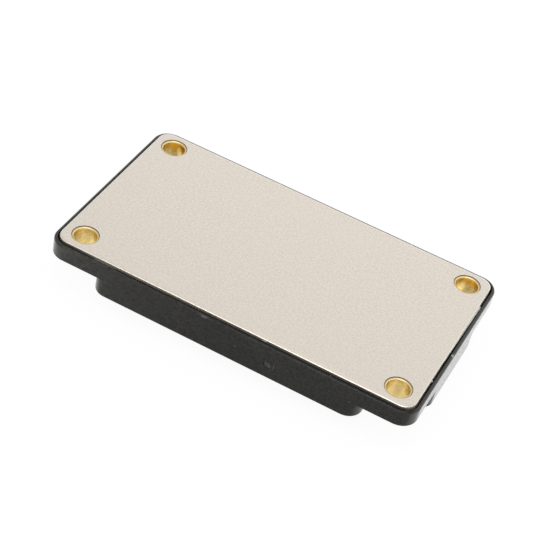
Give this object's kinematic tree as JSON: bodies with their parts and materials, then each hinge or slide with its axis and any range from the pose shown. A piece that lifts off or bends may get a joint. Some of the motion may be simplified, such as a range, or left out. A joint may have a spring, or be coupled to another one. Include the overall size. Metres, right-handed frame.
{
  "type": "power mosfet module",
  "caption": "Low-profile power MOSFET module: plated copper baseplate in a black moulded frame with brass screw bushings, and solder pins on the board side.",
  "frame": {"origin": "middle of the bounding box's bottom: under the module's centre, at the tips of the solder pins", "axes": "+Z is the baseplate's outward normal, +X runs along the module, +Y across it; the gate mark is on -Y"},
  "size_m": [0.108, 0.062, 0.016],
  "materials": {
    "nickel_plate": "fine matt nickel plating",
    "moulded_plastic": "black, satin moulded",
    "lid_plastic": "black, matt moulded",
    "brass": "turned, bright",
    "adhesive": "cured silicone bead",
    "silicone_gel": "clear soft gel",
    "solder": "reflowed solder",
    "copper": "bare copper",
    "ceramic": "fired ceramic",
    "silicon": "metallised silicon",
    "aluminium_wire": "drawn wire",
    "tinned_pin": "tin-plated copper"
  },
  "bodies": {
    "root": {"baseplate": "nickel_plate", "housing_frame": "moulded_plastic", "lid": "lid_plastic", "plate_adhesive": "adhesive", "gel": "silicone_gel", "bushing_front_left": "brass", "bushing_front_right": "brass", "bushing_back_left": "brass", "bushing_back_right": "brass", "substrate_solder_1": "solder", "substrate_solder_2": "solder", "substrate_solder_3": "solder", "back_copper_1": "copper", "back_copper_2": "copper", "back_copper_3": "copper", "ceramic_1": "ceramic", "ceramic_2": "ceramic", "ceramic_3": "ceramic", "tracks_1": "copper", "tracks_2": "copper", "tracks_3": "copper", "chip_solder_1": "solder", "chip_solder_2": "solder", "chip_solder_3": "solder", "chips_1": "silicon", "chips_2": "silicon", "chips_3": "silicon", "bond_wires_1": "aluminium_wire", "bond_wires_2": "aluminium_wire", "bond_wires_3": "aluminium_wire", "plus_pins_1": "tinned_pin", "plus_pins_2": "tinned_pin", "plus_pins_3": "tinned_pin", "minus_pins_1": "tinned_pin", "minus_pins_2": "tinned_pin", "minus_pins_3": "tinned_pin", "phase_pins_1": "tinned_pin", "phase_pins_2": "tinned_pin", "phase_pins_3": "tinned_pin", "high_gate_pins_1": "tinned_pin", "high_gate_pins_2": "tinned_pin", "high_gate_pins_3": "tinned_pin", "low_gate_pins_1": "tinned_pin", "low_gate_pins_2": "tinned_pin", "low_gate_pins_3": "tinned_pin"}
  },
  "joints": []
}
